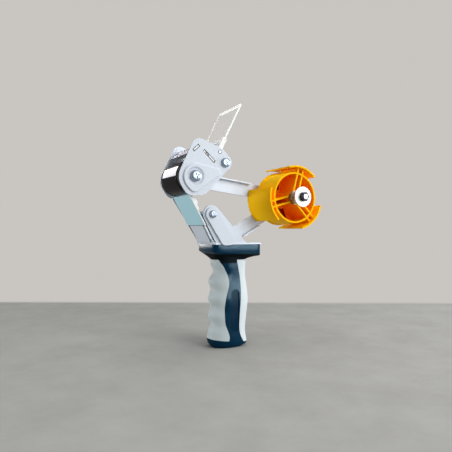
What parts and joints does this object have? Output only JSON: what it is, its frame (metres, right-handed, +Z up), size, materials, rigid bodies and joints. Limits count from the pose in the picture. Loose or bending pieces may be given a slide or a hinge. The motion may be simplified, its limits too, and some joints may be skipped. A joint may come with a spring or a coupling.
{
  "type": "packing tape dispenser",
  "caption": "Hand-held packing tape gun: pistol handle with soft grips, pressed steel frame, tape roller, toothed blade, sprung clear wiper and finned core hub with a screw brake.",
  "frame": {"origin": "middle of the handle's foot, on the table", "axes": "+X to the hub at the rear, +Y to the side plate, +Z up the handle"},
  "size_m": [0.1885, 0.075, 0.2693],
  "materials": {
    "handle_plastic": "satin moulded plastic",
    "soft_grip": "soft overmoulded grip, matt",
    "frame_paint": "smooth powder paint",
    "guard_paint": "satin paint",
    "zinc": "zinc plated",
    "roller_chrome": "polished",
    "cap_plastic": "satin",
    "blade_steel": "stamped sheet steel",
    "clear_plastic": "clear, glossy",
    "hub_plastic": "glossy moulded plastic",
    "spring_steel": "bare spring wire",
    "brake_fibre": "pressed fibre"
  },
  "bodies": {
    "frame": {"handle_shell_near": "handle_plastic", "handle_shell_far": "handle_plastic", "grip_front": "soft_grip", "grip_back": "soft_grip", "handle_screws": "zinc", "side_frame": "frame_paint", "saddle": "frame_paint", "deck_screws": "zinc", "front_guard": "guard_paint", "tie_screw": "zinc", "tie_sleeve": "zinc", "tie_nut": "zinc", "head_plate_near": "frame_paint", "roller_screw": "zinc", "roller_sleeve": "zinc", "roller_nut": "zinc", "guide_screw": "zinc", "guide_sleeve": "zinc", "guide_nut": "zinc", "blade_bar": "frame_paint", "blade": "blade_steel", "blade_rivets": "zinc", "wiper_pin": "zinc", "wiper_spring": "spring_steel", "hub_axle": "zinc", "axle_nut": "zinc", "brake_washer": "brake_fibre", "spring_seat": "zinc", "tension_spring": "spring_steel"},
    "roller": {"roller_tube": "roller_chrome", "roller_end_caps": "cap_plastic"},
    "core_hub": {"hub": "hub_plastic"},
    "wiper_flap": {"wiper": "clear_plastic"},
    "brake_washer_stack": {"tension_washer": "zinc"},
    "brake_nut": {"tension_nut": "zinc"}
  },
  "joints": [
    {"name": "roller_spin", "type": "hinge", "parent": "frame", "child": "roller", "pos_m": [-0.0525, 0, 0.1864], "axis": [0, 1, 0], "continuous": true},
    {"name": "hub_spin", "type": "hinge", "parent": "frame", "child": "core_hub", "pos_m": [0.081, 0, 0.1695], "axis": [0, 1, 0], "continuous": true},
    {"name": "wiper_hinge", "type": "hinge", "parent": "frame", "child": "wiper_flap", "pos_m": [-0.0237, 0, 0.2138], "axis": [0, 1, 0], "range_deg": [0, 30], "stiffness_Nm_per_rad": 0.08, "springref_deg": -22.92, "deforming": ["wiper_spring"]},
    {"name": "brake_slide", "type": "slide", "parent": "frame", "child": "brake_washer_stack", "axis": [0, 1, 0], "range_m": [-0.001, 0.002], "deforming": ["tension_spring"]},
    {"name": "brake_nut_turn", "type": "hinge", "parent": "brake_washer_stack", "child": "brake_nut", "pos_m": [0.081, 0, 0.1695], "axis": [0, 1, 0], "range_deg": [-363.6, 727.2]}
  ],
  "couplings": [
    {"joint": "brake_nut_turn", "follows": "brake_slide", "rad_per_m": 6283.2}
  ]
}
